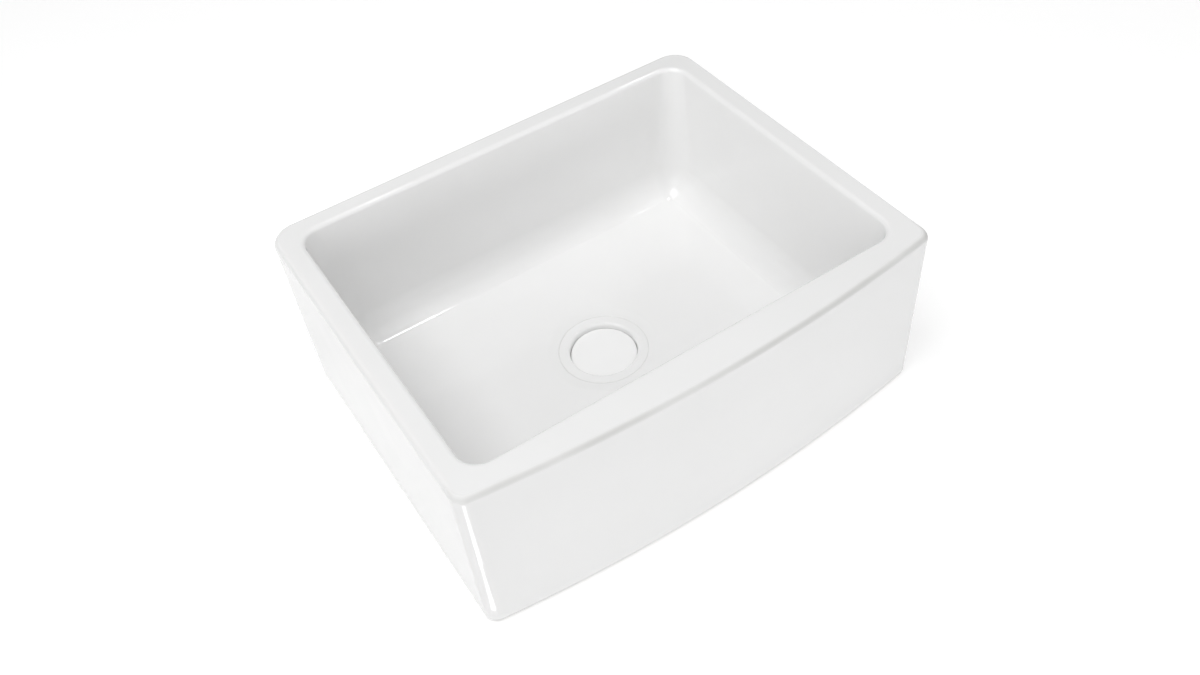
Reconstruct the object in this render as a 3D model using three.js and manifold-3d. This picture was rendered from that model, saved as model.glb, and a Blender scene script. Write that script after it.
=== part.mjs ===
// A farmhouse sink: one glazed fireclay bowl with a gently bowed apron, and the shallow drain
// set that it needs to hold and strain water. Millimetres, +Z up, the apron faces -Y.
// The origin is at the middle of the foot, on the surface that the sink stands on.

import * as THREE from 'three';
import { mergeVertices } from 'three/addons/utils/BufferGeometryUtils.js';
import Module from 'manifold-3d';

const wasm = await Module();
wasm.setup();

// ---------------------------------------------------------------- driving dimensions

// the fireclay body
const WIDTH = 610;
const SIDE_DEPTH = 480; // front corner to back, along a side
const APRON_BOW = 22; // how far the middle of the apron stands forward of its corners
const HEIGHT = 235;
const RIM_SIDE = 30; // rim width over the left and right walls
const RIM_BACK = 29.5;
const RIM_FRONT = 28.5; // at the front corners: the bowl's front wall is straight
const BOWL_DEPTH = 188; // rim top to the foot of the walls
const FLOOR_FALL = 5; // from the foot of the walls to the drain
const BOWL_DRAFT = 10; // how far each bowl wall leans in over its height
const BOWL_FILLET = 45; // walls down towards the floor
const FLOOR_ROUND = 6; // tighter round where that fillet meets the floor
const FLOOR_ROUND_TURN = 22.5; // degrees
const BOWL_CORNER_TOP = 26; // upright corners of the bowl, seen from above
const BOWL_CORNER_FOOT = 40;
const FRONT_CORNER = 14; // upright outer corners, seen from above
const BACK_CORNER = 32;
const RIM_OUTER_ROUND = 7.5;
const RIM_INNER_ROUND = 6;
const FOOT_ROUND = 8;
const FOOT_WIDTH = 34; // the flat ring that the sink stands on, with its rounded edge
const UNDERSIDE_ROUND = 14;
const UNDERSIDE_CORNER = 30;
const DRAIN_FORWARD = 6; // drain centre, in front of the middle of the bowl
const DRAIN_BORE = 45; // radius: a 3 1/2 inch drain hole
const DRAIN_LIP = 4.4; // round at the top of the bore
const DRAIN_WALL = 12; // thickness of the fireclay at the drain
const SEAT_DIP = 1.4; // soft dip of the floor round the strainer's flange
const SEAT_BLEND = 16; // width of that dip

// fits
const SEAT_CLEARANCE = 0.4; // flange in its sunk seat
const SLEEVE_CLEARANCE = 0.5; // strainer in the fireclay bore
const RING_CLEARANCE = 0.4; // loose rings and nut on the strainer's sleeve
const THROAT_CLEARANCE = 0.8; // basket and cover inside the strainer
const POST_CLEARANCE = 0.3;

// the strainer body and what clamps it
const GASKET_THICKNESS = 1;
const FLANGE_RADIUS = 57;
const FLANGE_EDGE = 1.5;
const FLANGE_BEND = 4.2; // underside radius where the flange turns down into the sleeve
const THROAT_LIP = 3.75; // round from the top of the flange down into the sleeve
const SLEEVE_WALL = 1.2;
const LEDGE_DEPTH = 10.7; // underside of the flange to the ledge that carries the basket
const LEDGE_WIDTH = 2.8;
const CUP_DEPTH = 20.3; // ledge to the floor of the cup
const CUP_FLOOR = 1.6;
const CUP_CHAMFER = 3;
const OUTLET_RADIUS = 17;
const COLLAR_BORE = 20;
const COLLAR_WALL = 3;
const COLLAR_LENGTH = 5.4;
const SPIDER_ARMS = 4;
const SPIDER_ARM_WIDTH = 2.4;
const HUB_RADIUS = 6.5;
const HUB_BORE = 4.1;
const WASHER_RADIUS = 57;
const WASHER_THICKNESS = 3;
const FRICTION_THICKNESS = 0.8;
const NUT_RADIUS = 54;
const NUT_HEIGHT = 8;
const NUT_LUGS = 6;
const NUT_LUG_WIDTH = 9;
const NUT_LUG_REACH = 5;
const OUTLET_WASHER_THICKNESS = 1.2;

// the lift-out basket
const BASKET_RIM_THICKNESS = 1;
const BASKET_WALL = 0.9;
const BASKET_DEPTH = 16.7; // underside of the rim to the underside of the floor
const BASKET_BEND = 3;
const HOLE_RADIUS = 2;
const HOLE_RINGS = [[14.5, 8], [21, 12], [27.5, 16], [33.5, 20]]; // radius, how many
const STOPPER_RADIUS = 27;
const STOPPER_RECESS = 5.6;
const POST_RADIUS = 2.4;
const POST_FLANGE = 5;
const POST_FLANGE_THICKNESS = 1.4;
const POST_FLANGE_DROP = 0.4; // flange clear of the spider below it
const ORING_SECTION = 0.8;
const CLAMP_WASHER_RADIUS = 9;
const CLAMP_WASHER_THICKNESS = 0.8;
const KNOB_BASE = 6;
const KNOB_NECK = 3.6;
const KNOB_HEAD = 8;
const KNOB_HEIGHT = 15;
const KNOB_ROOF = 3; // solid knob above the end of the post

// the cover disc
const FOOT_PADS = 3;
const PAD_RADIUS = 1.6;
const PAD_HEIGHT = 1.6;
const COVER_EDGE = 2;
const COVER_CROWN = 1;
const COVER_EDGE_ROUND = 0.8;

// fineness
const CORNER_STEPS = 4;
const LONG_EDGE_STEPS = 16;
const SHORT_EDGE_STEPS = 10;
const ROUND_STEPS = 3;
const FILLET_STEPS = 5;
const FLOOR_ROUND_STEPS = 2;
const TURN_STEPS = 48;
const SMALL_TURN_STEPS = 20;
const HOLE_STEPS = 6;

// ---------------------------------------------------------------- levels and places

const FRONT_LINE = -(SIDE_DEPTH + APRON_BOW) / 2 + APRON_BOW;
const BACK_LINE = FRONT_LINE + SIDE_DEPTH;
const BOWL_MIDDLE = (FRONT_LINE + RIM_FRONT + BACK_LINE - RIM_BACK) / 2;
const DRAIN_Y = BOWL_MIDDLE - DRAIN_FORWARD;
const FLOOR_FOOT_Z = HEIGHT - BOWL_DEPTH;
const FLOOR_DRAIN_Z = FLOOR_FOOT_Z - FLOOR_FALL;
const SEAT_TOP_Z = FLOOR_DRAIN_Z - SEAT_DIP; // the flange lies flush with this
const SEAT_Z = SEAT_TOP_Z - FLANGE_EDGE - GASKET_THICKNESS;
const SEAT_RADIUS = FLANGE_RADIUS + SEAT_CLEARANCE;
const UNDERSIDE_Z = SEAT_Z - DRAIN_WALL;

const FLANGE_Z = SEAT_Z + GASKET_THICKNESS; // underside of the flange
const SLEEVE_RADIUS = DRAIN_BORE - SLEEVE_CLEARANCE;
const THROAT_RADIUS = SLEEVE_RADIUS - SLEEVE_WALL;
const LEDGE_Z = FLANGE_Z - LEDGE_DEPTH;
const CUP_RADIUS = THROAT_RADIUS - LEDGE_WIDTH;
const CUP_Z = LEDGE_Z - CUP_DEPTH; // top of the cup's floor
const CUP_BASE_Z = CUP_Z - CUP_FLOOR;
const COLLAR_Z = CUP_BASE_Z - COLLAR_LENGTH;
const RING_BORE = SLEEVE_RADIUS + RING_CLEARANCE;
const GASKET_BORE = RING_BORE + FLANGE_BEND;
const WASHER_Z = UNDERSIDE_Z - WASHER_THICKNESS;
const FRICTION_Z = WASHER_Z - FRICTION_THICKNESS;
const NUT_Z = FRICTION_Z - NUT_HEIGHT;

const BASKET_RIM_RADIUS = THROAT_RADIUS - THROAT_CLEARANCE;
const BASKET_RADIUS = CUP_RADIUS - THROAT_CLEARANCE;
const BASKET_RIM_Z = LEDGE_Z + BASKET_RIM_THICKNESS; // top of the basket's rim
const BASKET_BASE_Z = LEDGE_Z - BASKET_DEPTH;
const BASKET_FLOOR_Z = BASKET_BASE_Z + BASKET_WALL;
const POST_BORE = POST_RADIUS + POST_CLEARANCE;
const POST_FLANGE_Z = CUP_Z + POST_FLANGE_DROP;
const KNOB_Z = BASKET_FLOOR_Z + CLAMP_WASHER_THICKNESS;
const POST_TOP_Z = KNOB_Z + KNOB_HEIGHT - KNOB_ROOF;
const COVER_RADIUS = THROAT_RADIUS - THROAT_CLEARANCE;
const COVER_Z = BASKET_RIM_Z + PAD_HEIGHT;
const PAD_CIRCLE = (BASKET_RADIUS - BASKET_WALL + BASKET_RIM_RADIUS) / 2;

// ---------------------------------------------------------------- materials

function finish(color, roughness, metalness = 0) {
  return new THREE.MeshStandardMaterial({ color, roughness, metalness });
}

const GLAZE = finish(0xf2f2f0, 0.12);
const WHITE_ENAMEL = finish(0xf4f4f2, 0.18);
const WHITE_NYLON = finish(0xe9e9e4, 0.45);
const DARK_RUBBER = finish(0x2b2b2c, 0.85);
const WHITE_RUBBER = finish(0xd9d9d4, 0.8);
const GREY_FIBRE = finish(0x8f8a80, 0.9);
const STEEL = finish(0xc9cbcc, 0.3, 0.9);

// ---------------------------------------------------------------- solids from manifold-3d

function toManifold(geometry) {
  const bare = geometry.clone();
  bare.deleteAttribute('normal');
  bare.deleteAttribute('uv');
  const merged = mergeVertices(bare, 1e-4);
  return new wasm.Manifold(new wasm.Mesh({
    numProp: 3,
    vertProperties: new Float32Array(merged.attributes.position.array),
    triVerts: new Uint32Array(merged.index.array),
  }));
}

function fromManifold(solid) {
  const mesh = solid.getMesh();
  const geometry = new THREE.BufferGeometry();
  geometry.setAttribute('position', new THREE.BufferAttribute(new Float32Array(mesh.vertProperties), 3));
  geometry.setIndex(Array.from(mesh.triVerts));
  geometry.computeVertexNormals();
  return geometry;
}

// ---------------------------------------------------------------- turned pieces

// A ring or disc turned about the upright axis. The profile is a list of [radius, height].
// One that doesn't end on the axis is closed on itself.
function turned(profile, steps = TURN_STEPS) {
  const points = profile.map(([radius, height]) => new THREE.Vector2(radius, height));
  const onAxis = points[0].x === 0 && points[points.length - 1].x === 0;
  if (THREE.ShapeUtils.area(points) < 0) {
    points.reverse();
  }
  if (!onAxis) {
    points.push(points[0].clone());
  }
  const geometry = new THREE.LatheGeometry(points, steps);
  geometry.rotateX(Math.PI / 2);
  return geometry;
}

// Points on a quarter round between two corners of a profile, about a centre.
function quarter(centre, radius, fromAngle, toAngle, steps = ROUND_STEPS) {
  const points = [];
  for (let i = 0; i <= steps; i += 1) {
    const angle = THREE.MathUtils.degToRad(THREE.MathUtils.lerp(fromAngle, toAngle, i / steps));
    points.push([centre[0] + radius * Math.cos(angle), centre[1] + radius * Math.sin(angle)]);
  }
  return points;
}

function flatRing(inner, outer, bottom, thickness, steps = TURN_STEPS) {
  const top = bottom + thickness;
  return turned([[inner, bottom], [outer, bottom], [outer, top], [inner, top]], steps);
}

// ---------------------------------------------------------------- the fireclay body

// A plan outline, anticlockwise from the right-hand front corner, inset from the outer walls.
// The front edge bows forward by `bow` at its middle. Every outline has the same count of points.
function outline({ side, front, back, frontRadius, backRadius, bow }) {
  const half = WIDTH / 2 - side;
  const low = FRONT_LINE + front;
  const high = BACK_LINE - back;
  const corners = [
    { x: half - frontRadius, y: low + frontRadius, radius: frontRadius, start: -90 },
    { x: half - backRadius, y: high - backRadius, radius: backRadius, start: 0 },
    { x: -half + backRadius, y: high - backRadius, radius: backRadius, start: 90 },
    { x: -half + frontRadius, y: low + frontRadius, radius: frontRadius, start: 180 },
  ];
  const arcs = corners.map((c) => quarter([c.x, c.y], c.radius, c.start, c.start + 90, CORNER_STEPS));
  const edgeSteps = [SHORT_EDGE_STEPS, LONG_EDGE_STEPS, SHORT_EDGE_STEPS, LONG_EDGE_STEPS];
  const points = [];
  arcs.forEach((arc, corner) => {
    points.push(...arc);
    const from = arc[arc.length - 1];
    const to = arcs[(corner + 1) % arcs.length][0];
    for (let i = 1; i < edgeSteps[corner]; i += 1) {
      const t = i / edgeSteps[corner];
      points.push([THREE.MathUtils.lerp(from[0], to[0], t), THREE.MathUtils.lerp(from[1], to[1], t)]);
    }
  });
  return points.map(([x, y]) => {
    const inFront = y < low + frontRadius + 1e-6;
    return [x, inFront ? y - bow * (1 - (x / half) ** 2) : y];
  });
}

// An outline of the outside, moved in by one distance all round.
function outside(inset) {
  return outline({
    side: inset,
    front: inset,
    back: inset,
    frontRadius: FRONT_CORNER - inset / 2,
    backRadius: BACK_CORNER - inset,
    bow: APRON_BOW,
  });
}

// An outline of the bowl: `inset` in from the rim's inner edge, with upright corners of `radius`.
function bowl(inset, radius) {
  return outline({
    side: RIM_SIDE + inset,
    front: RIM_FRONT + inset,
    back: RIM_BACK + inset,
    frontRadius: radius,
    backRadius: radius,
    bow: 0,
  });
}

// An outline of the hollow under the sink.
function hollow(inset) {
  return outline({
    side: inset,
    front: inset,
    back: inset,
    frontRadius: UNDERSIDE_CORNER,
    backRadius: UNDERSIDE_CORNER,
    bow: 0,
  });
}

// A circle about the drain, with its points on the rays from the drain through an outline's.
function aroundDrain(radius, rays) {
  return rays.map(([x, y]) => {
    const angle = Math.atan2(y - DRAIN_Y, x);
    return [radius * Math.cos(angle), DRAIN_Y + radius * Math.sin(angle)];
  });
}

// The fillet from a bowl wall to the floor, as [inset, height]: a large round that ends in a tight one.
function bowlFillet() {
  const meet = 270 - FLOOR_ROUND_TURN;
  const step = BOWL_FILLET - FLOOR_ROUND;
  const angle = THREE.MathUtils.degToRad(meet);
  const large = [BOWL_DRAFT + BOWL_FILLET, FLOOR_FOOT_Z + FLOOR_ROUND - step * Math.sin(angle)];
  const tight = [large[0] + step * Math.cos(angle), FLOOR_FOOT_Z + FLOOR_ROUND];
  return [
    ...quarter(large, BOWL_FILLET, 180, meet, FILLET_STEPS),
    ...quarter(tight, FLOOR_ROUND, meet, 270, FLOOR_ROUND_STEPS).slice(1),
  ];
}

// The body's closed section, as rings in order: foot, apron, rim, bowl, drain, underside.
function bodyRings() {
  const rings = [];
  const ring = (points, z) => rings.push({ points, z });
  const fillet = bowlFillet().map(([inset, z]) => ({ points: bowl(inset, BOWL_CORNER_FOOT - (inset - BOWL_DRAFT)), z }));
  const floorOutline = fillet[fillet.length - 1].points;

  ring(hollow(FOOT_WIDTH), 0);
  quarter([FOOT_ROUND, FOOT_ROUND], FOOT_ROUND, 270, 180).forEach(([inset, z]) => ring(outside(inset), z));
  quarter([RIM_OUTER_ROUND, HEIGHT - RIM_OUTER_ROUND], RIM_OUTER_ROUND, 180, 90)
    .forEach(([inset, z]) => ring(outside(inset), z));

  quarter([-RIM_INNER_ROUND, HEIGHT - RIM_INNER_ROUND], RIM_INNER_ROUND, 90, 0)
    .forEach(([inset, z]) => ring(bowl(inset, BOWL_CORNER_TOP - inset), z));
  rings.push(...fillet);

  for (let i = 0; i <= ROUND_STEPS; i += 1) {
    const t = i / ROUND_STEPS;
    const fall = SEAT_DIP * t * t * (3 - 2 * t);
    ring(aroundDrain(SEAT_RADIUS + SEAT_BLEND * (1 - t), floorOutline), FLOOR_DRAIN_Z - fall);
  }
  ring(aroundDrain(SEAT_RADIUS, floorOutline), SEAT_Z);
  quarter([DRAIN_BORE + DRAIN_LIP, SEAT_Z - DRAIN_LIP], DRAIN_LIP, 90, 180)
    .forEach(([radius, z]) => ring(aroundDrain(radius, floorOutline), z));
  ring(aroundDrain(DRAIN_BORE, floorOutline), UNDERSIDE_Z);
  ring(aroundDrain(SEAT_RADIUS + SEAT_BLEND, floorOutline), UNDERSIDE_Z);
  quarter([FOOT_WIDTH + UNDERSIDE_ROUND, UNDERSIDE_Z - UNDERSIDE_ROUND], UNDERSIDE_ROUND, 90, 180)
    .forEach(([inset, z]) => ring(hollow(inset), z));
  return rings;
}

// A closed solid through rings of equal count, with the last ring joined to the first.
function loftClosed(rings) {
  const count = rings[0].points.length;
  const positions = [];
  const indices = [];
  rings.forEach(({ points, z }) => points.forEach(([x, y]) => positions.push(x, y, z)));
  rings.forEach((_, ringIndex) => {
    const here = ringIndex * count;
    const next = ((ringIndex + 1) % rings.length) * count;
    for (let i = 0; i < count; i += 1) {
      const j = (i + 1) % count;
      indices.push(here + i, here + j, next + j);
      indices.push(here + i, next + j, next + i);
    }
  });
  const geometry = new THREE.BufferGeometry();
  geometry.setAttribute('position', new THREE.Float32BufferAttribute(positions, 3));
  geometry.setIndex(indices);
  geometry.computeVertexNormals();
  return geometry;
}

// ---------------------------------------------------------------- the strainer

function strainerShell() {
  const bendCentre = [SLEEVE_RADIUS + FLANGE_BEND, FLANGE_Z - FLANGE_BEND];
  const lipCentre = [THROAT_RADIUS + THROAT_LIP, FLANGE_Z + FLANGE_EDGE - THROAT_LIP];
  return turned([
    ...quarter(bendCentre, FLANGE_BEND, 180, 90),
    [FLANGE_RADIUS, FLANGE_Z],
    [FLANGE_RADIUS, FLANGE_Z + FLANGE_EDGE],
    ...quarter(lipCentre, THROAT_LIP, 90, 180),
    [THROAT_RADIUS, LEDGE_Z],
    [CUP_RADIUS, LEDGE_Z],
    [CUP_RADIUS, CUP_Z],
    [OUTLET_RADIUS, CUP_Z],
    [OUTLET_RADIUS, CUP_BASE_Z],
    [COLLAR_BORE, CUP_BASE_Z],
    [COLLAR_BORE, COLLAR_Z],
    [COLLAR_BORE + COLLAR_WALL, COLLAR_Z],
    [COLLAR_BORE + COLLAR_WALL, CUP_BASE_Z],
    [SLEEVE_RADIUS - CUP_CHAMFER, CUP_BASE_Z],
    [SLEEVE_RADIUS, CUP_BASE_Z + CUP_CHAMFER],
  ]);
}

// The cross in the outlet, with the hub that guides the basket's post.
function strainerBody() {
  let solid = toManifold(strainerShell());
  const armInner = (HUB_BORE + HUB_RADIUS) / 2;
  const armOuter = (OUTLET_RADIUS + COLLAR_BORE) / 2;
  for (let i = 0; i < SPIDER_ARMS; i += 1) {
    const arm = new THREE.BoxGeometry(armOuter - armInner, SPIDER_ARM_WIDTH, CUP_FLOOR);
    arm.translate((armInner + armOuter) / 2, 0, CUP_BASE_Z + CUP_FLOOR / 2);
    arm.rotateZ((i / SPIDER_ARMS + 1 / (2 * SPIDER_ARMS)) * 2 * Math.PI);
    solid = solid.add(toManifold(arm));
  }
  const hub = flatRing(HUB_BORE, HUB_RADIUS, CUP_BASE_Z, CUP_FLOOR, SMALL_TURN_STEPS);
  return fromManifold(solid.add(toManifold(hub)));
}

function locknut() {
  let solid = toManifold(flatRing(RING_BORE, NUT_RADIUS, NUT_Z, NUT_HEIGHT));
  const lugOuter = NUT_RADIUS + NUT_LUG_REACH;
  const lugInner = (RING_BORE + NUT_RADIUS) / 2;
  for (let i = 0; i < NUT_LUGS; i += 1) {
    const lug = new THREE.BoxGeometry(lugOuter - lugInner, NUT_LUG_WIDTH, NUT_HEIGHT);
    lug.translate((lugOuter + lugInner) / 2, 0, NUT_Z + NUT_HEIGHT / 2);
    lug.rotateZ((i / NUT_LUGS) * 2 * Math.PI);
    solid = solid.add(toManifold(lug));
  }
  return fromManifold(solid);
}

// ---------------------------------------------------------------- the basket

function basketShell() {
  const inner = BASKET_RADIUS - BASKET_WALL;
  return turned([
    [POST_BORE, BASKET_BASE_Z],
    [BASKET_RADIUS - BASKET_BEND, BASKET_BASE_Z],
    [BASKET_RADIUS, BASKET_BASE_Z + BASKET_BEND],
    [BASKET_RADIUS, LEDGE_Z],
    [BASKET_RIM_RADIUS, LEDGE_Z],
    [BASKET_RIM_RADIUS, BASKET_RIM_Z],
    [inner, BASKET_RIM_Z],
    [inner, BASKET_FLOOR_Z + BASKET_BEND],
    [inner - BASKET_BEND, BASKET_FLOOR_Z],
    [POST_BORE, BASKET_FLOOR_Z],
  ]);
}

function strainerBasket() {
  const drills = [];
  HOLE_RINGS.forEach(([radius, count]) => {
    for (let i = 0; i < count; i += 1) {
      const drill = new THREE.CylinderGeometry(HOLE_RADIUS, HOLE_RADIUS, 3 * BASKET_WALL, HOLE_STEPS);
      drill.rotateX(Math.PI / 2);
      drill.translate(radius, 0, BASKET_BASE_Z + BASKET_WALL / 2);
      drill.rotateZ(((i + 0.5) / count) * 2 * Math.PI);
      drills.push(toManifold(drill));
    }
  });
  return fromManifold(toManifold(basketShell()).subtract(wasm.Manifold.union(drills)));
}

function basketStopper() {
  const recessTop = POST_FLANGE_Z + POST_FLANGE_THICKNESS;
  return turned([
    [STOPPER_RECESS, CUP_Z],
    [STOPPER_RADIUS, CUP_Z],
    [STOPPER_RADIUS, BASKET_BASE_Z],
    [POST_BORE, BASKET_BASE_Z],
    [POST_BORE, recessTop],
    [STOPPER_RECESS, recessTop],
  ]);
}

function basketPost() {
  const groove = POST_RADIUS - ORING_SECTION / 2;
  const middle = CUP_BASE_Z + CUP_FLOOR / 2;
  return turned([
    [0, CUP_BASE_Z],
    [groove, CUP_BASE_Z],
    [POST_RADIUS, middle - ORING_SECTION / 2],
    [groove, middle - ORING_SECTION / 4],
    [groove, middle + ORING_SECTION / 4],
    [POST_RADIUS, middle + ORING_SECTION / 2],
    [POST_RADIUS, POST_FLANGE_Z],
    [POST_FLANGE, POST_FLANGE_Z],
    [POST_FLANGE, POST_FLANGE_Z + POST_FLANGE_THICKNESS],
    [POST_RADIUS, POST_FLANGE_Z + POST_FLANGE_THICKNESS],
    [POST_RADIUS, POST_TOP_Z],
    [0, POST_TOP_Z],
  ], SMALL_TURN_STEPS);
}

// A rubber ring on the post, which grips the hub and holds the basket up when it is raised.
function postOring() {
  const ringRadius = POST_RADIUS + ORING_SECTION / 2 + POST_CLEARANCE;
  const geometry = new THREE.TorusGeometry(ringRadius, ORING_SECTION / 2, HOLE_STEPS, SMALL_TURN_STEPS);
  geometry.translate(0, 0, CUP_BASE_Z + CUP_FLOOR / 2);
  return geometry;
}

function basketKnob() {
  const top = KNOB_Z + KNOB_HEIGHT;
  const round = KNOB_HEAD - KNOB_BASE;
  const socketTop = POST_TOP_Z + POST_CLEARANCE;
  return turned([
    [0, socketTop],
    [POST_BORE, socketTop],
    [POST_BORE, KNOB_Z],
    [KNOB_BASE, KNOB_Z],
    [KNOB_NECK, KNOB_Z + KNOB_HEIGHT / 3],
    [KNOB_NECK, top - 2 * round],
    ...quarter([KNOB_HEAD - round, top - round], round, -45, 90),
    [0, top],
  ], SMALL_TURN_STEPS);
}

// ---------------------------------------------------------------- the cover

function coverDisc() {
  const top = COVER_Z + COVER_EDGE;
  const round = COVER_EDGE_ROUND;
  return turned([
    [0, COVER_Z],
    [COVER_RADIUS, COVER_Z],
    ...quarter([COVER_RADIUS - round, top - round], round, 0, 90, 3),
    [COVER_RADIUS / 2, top + COVER_CROWN * 0.75],
    [0, top + COVER_CROWN],
  ]);
}

function footPad(index) {
  const pad = new THREE.CylinderGeometry(PAD_RADIUS, PAD_RADIUS, PAD_HEIGHT, SMALL_TURN_STEPS);
  pad.rotateX(Math.PI / 2);
  pad.translate(0, PAD_CIRCLE, BASKET_RIM_Z + PAD_HEIGHT / 2);
  pad.rotateZ((index / FOOT_PADS) * 2 * Math.PI);
  return pad;
}

// ---------------------------------------------------------------- assembly

const sink = new THREE.Group();

const drainSet = new THREE.Group();
drainSet.position.set(0, DRAIN_Y, 0);
sink.add(drainSet);

function place(group, name, geometry, material) {
  const mesh = new THREE.Mesh(geometry, material);
  mesh.name = name;
  group.add(mesh);
}

place(sink, 'sink_body', loftClosed(bodyRings()), GLAZE);

place(drainSet, 'flange_gasket', flatRing(GASKET_BORE, FLANGE_RADIUS, SEAT_Z, GASKET_THICKNESS), WHITE_RUBBER);
place(drainSet, 'strainer_body', strainerBody(), WHITE_ENAMEL);
place(drainSet, 'rubber_washer', flatRing(RING_BORE, WASHER_RADIUS, WASHER_Z, WASHER_THICKNESS), DARK_RUBBER);
place(drainSet, 'friction_ring', flatRing(RING_BORE, WASHER_RADIUS, FRICTION_Z, FRICTION_THICKNESS), GREY_FIBRE);
place(drainSet, 'locknut', locknut(), WHITE_NYLON);
place(
  drainSet,
  'outlet_washer',
  flatRing(
    OUTLET_RADIUS,
    COLLAR_BORE - POST_CLEARANCE,
    CUP_BASE_Z - OUTLET_WASHER_THICKNESS,
    OUTLET_WASHER_THICKNESS,
  ),
  DARK_RUBBER,
);

place(drainSet, 'strainer_basket', strainerBasket(), WHITE_ENAMEL);
place(drainSet, 'basket_stopper', basketStopper(), WHITE_RUBBER);
place(drainSet, 'basket_post', basketPost(), STEEL);
place(drainSet, 'post_oring', postOring(), DARK_RUBBER);
place(
  drainSet,
  'clamp_washer',
  flatRing(POST_BORE, CLAMP_WASHER_RADIUS, BASKET_FLOOR_Z, CLAMP_WASHER_THICKNESS, SMALL_TURN_STEPS),
  STEEL,
);
place(drainSet, 'basket_knob', basketKnob(), STEEL);

place(drainSet, 'cover_disc', coverDisc(), WHITE_ENAMEL);
for (let i = 0; i < FOOT_PADS; i += 1) {
  place(drainSet, `cover_pad_${i + 1}`, footPad(i), WHITE_RUBBER);
}

export default sink;
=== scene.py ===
"""A white fireclay farmhouse sink with its basket strainer, in a plain pale studio.

The pieces are worked out in millimetres and turned to metres where a mesh is made. Camera, lamps,
floor and materials are in metres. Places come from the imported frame. The apron faces -Y and the
sink stands on z = 0.
"""

import math

import bpy
import numpy as np
from mathutils import Matrix, Vector, noise


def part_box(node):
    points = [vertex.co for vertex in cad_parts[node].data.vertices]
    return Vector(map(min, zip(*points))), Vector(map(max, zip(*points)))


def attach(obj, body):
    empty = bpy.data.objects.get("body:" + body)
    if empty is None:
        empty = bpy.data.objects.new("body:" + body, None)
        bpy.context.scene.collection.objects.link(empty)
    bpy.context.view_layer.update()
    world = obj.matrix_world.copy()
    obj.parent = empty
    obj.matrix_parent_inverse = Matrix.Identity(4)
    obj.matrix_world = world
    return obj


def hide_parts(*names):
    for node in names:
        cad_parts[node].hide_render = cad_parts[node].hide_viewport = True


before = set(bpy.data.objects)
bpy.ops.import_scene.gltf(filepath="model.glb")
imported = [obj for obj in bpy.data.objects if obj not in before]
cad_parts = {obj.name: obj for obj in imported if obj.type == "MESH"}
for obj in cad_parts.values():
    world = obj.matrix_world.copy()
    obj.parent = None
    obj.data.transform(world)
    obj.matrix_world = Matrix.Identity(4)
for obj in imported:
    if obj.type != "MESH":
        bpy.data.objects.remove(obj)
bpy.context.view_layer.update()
MM = 0.001


def mm_box(*nodes):
    """Lowest and highest corner of some CAD nodes together, in millimetres."""
    lows, highs = zip(*(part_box(node) for node in nodes))
    low = [min(corner[i] for corner in lows) / MM for i in range(3)]
    high = [max(corner[i] for corner in highs) / MM for i in range(3)]
    return low, high


def round_size(node):
    """Outer radius, lowest and highest level of an upright round CAD node, in millimetres."""
    low, high = mm_box(node)
    return (high[0] - low[0]) / 2, low[2], high[2]


# ---------------------------------------------------------------- sizes of the fireclay body

BODY_LOW, BODY_HIGH = mm_box("sink_body")
WIDTH = BODY_HIGH[0] - BODY_LOW[0]
HEIGHT = BODY_HIGH[2]
APRON_BOW = 22
FRONT_LINE = BODY_LOW[1] + APRON_BOW
BACK_LINE = BODY_HIGH[1]
RIM_SIDE = 30
RIM_BACK = 29.5
RIM_FRONT = 28.5
BOWL_DEPTH = 188
FLOOR_FALL = 5
BOWL_DRAFT = 10
BOWL_FILLET = 45
FLOOR_ROUND = 6  # where the fillet meets the floor
FLOOR_ROUND_TURN = 22.5
BOWL_CORNER_TOP = 26
BOWL_CORNER_FOOT = 40
FRONT_CORNER = 14
BACK_CORNER = 32
RIM_OUTER_ROUND = 7.5
RIM_INNER_ROUND = 6
FOOT_ROUND = 8
FOOT_WIDTH = 34
UNDERSIDE_ROUND = 14
UNDERSIDE_CORNER = 30
DRAIN_BORE = 45
DRAIN_LIP = 4.4
DRAIN_WALL = 12
SEAT_DIP = 1.4
SEAT_BLEND = 16
SEAT_CLEARANCE = 0.4
WAVE_DEPTH = 0.3  # how uneven the glazed faces are
WAVE_LENGTH = 150
RIPPLE_SHARE = 0.12  # a finer unevenness on top of the wave
RIPPLE_SCALE = 3.1
# painted shade: the outer rounds get a darker band, strongest along the apron's top edge and fading out
# behind the apron's front; the glaze also runs thin there
THIN_AND_SHADE_AT_SIDES = 0.1  # share of the thin glaze and its painted shade on the rounds behind the apron
THIN_AND_SHADE_FADE = 30
THIN_AND_SHADE_SPREAD = 1.2  # a higher power keeps the thin glaze and its painted shade nearer the middle of the round

# ---------------------------------------------------------------- sizes of the drain set

TURN_STEPS = 192
FLANGE_LOW, FLANGE_HIGH = mm_box("strainer_body")
DRAIN_X = (FLANGE_LOW[0] + FLANGE_HIGH[0]) / 2
DRAIN_Y = (FLANGE_LOW[1] + FLANGE_HIGH[1]) / 2
FLANGE_RADIUS = (FLANGE_HIGH[0] - FLANGE_LOW[0]) / 2
GASKET_TOP = mm_box("flange_gasket")[1][2]
SEAT_Z = mm_box("flange_gasket")[0][2]
SEAT_TOP_Z = FLANGE_HIGH[2]
SEAT_RADIUS = FLANGE_RADIUS + SEAT_CLEARANCE
FLOOR_FOOT_Z = HEIGHT - BOWL_DEPTH
FLOOR_DRAIN_Z = FLOOR_FOOT_Z - FLOOR_FALL
UNDERSIDE_Z = SEAT_Z - DRAIN_WALL
SLEEVE_RADIUS = 44.5
SLEEVE_WALL = 1.2
FLANGE_BEND = 4.2
FLANGE_EDGE_ROUND = 0.15
FLANGE_UNDERCUT = 0.3
THROAT_LIP = 3.75
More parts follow.
